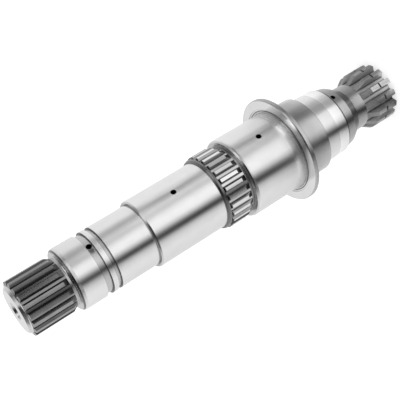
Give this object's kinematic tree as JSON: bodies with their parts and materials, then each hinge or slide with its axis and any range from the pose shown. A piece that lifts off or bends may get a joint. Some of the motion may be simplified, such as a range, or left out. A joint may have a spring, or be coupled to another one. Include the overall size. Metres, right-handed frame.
{
  "type": "drive shaft",
  "caption": "Forged and ground gearbox shaft with a front spline, a hub spline, stepped journals with oil holes, a flange and a toothed rear end.",
  "frame": {"origin": "centre of the rear end face, on which the shaft stands", "axes": "+Z along the shaft's axis, from the toothed rear end to the splined front end; +X towards the line of the four oil holes"},
  "size_m": [0.1164, 0.1164, 0.4584],
  "materials": {
    "ground_steel": "ground bright on the journals and the seat, dark and hardened on the splines, matte turned on the collar"
  },
  "bodies": {
    "root": {"drive_shaft": "ground_steel"}
  },
  "joints": []
}
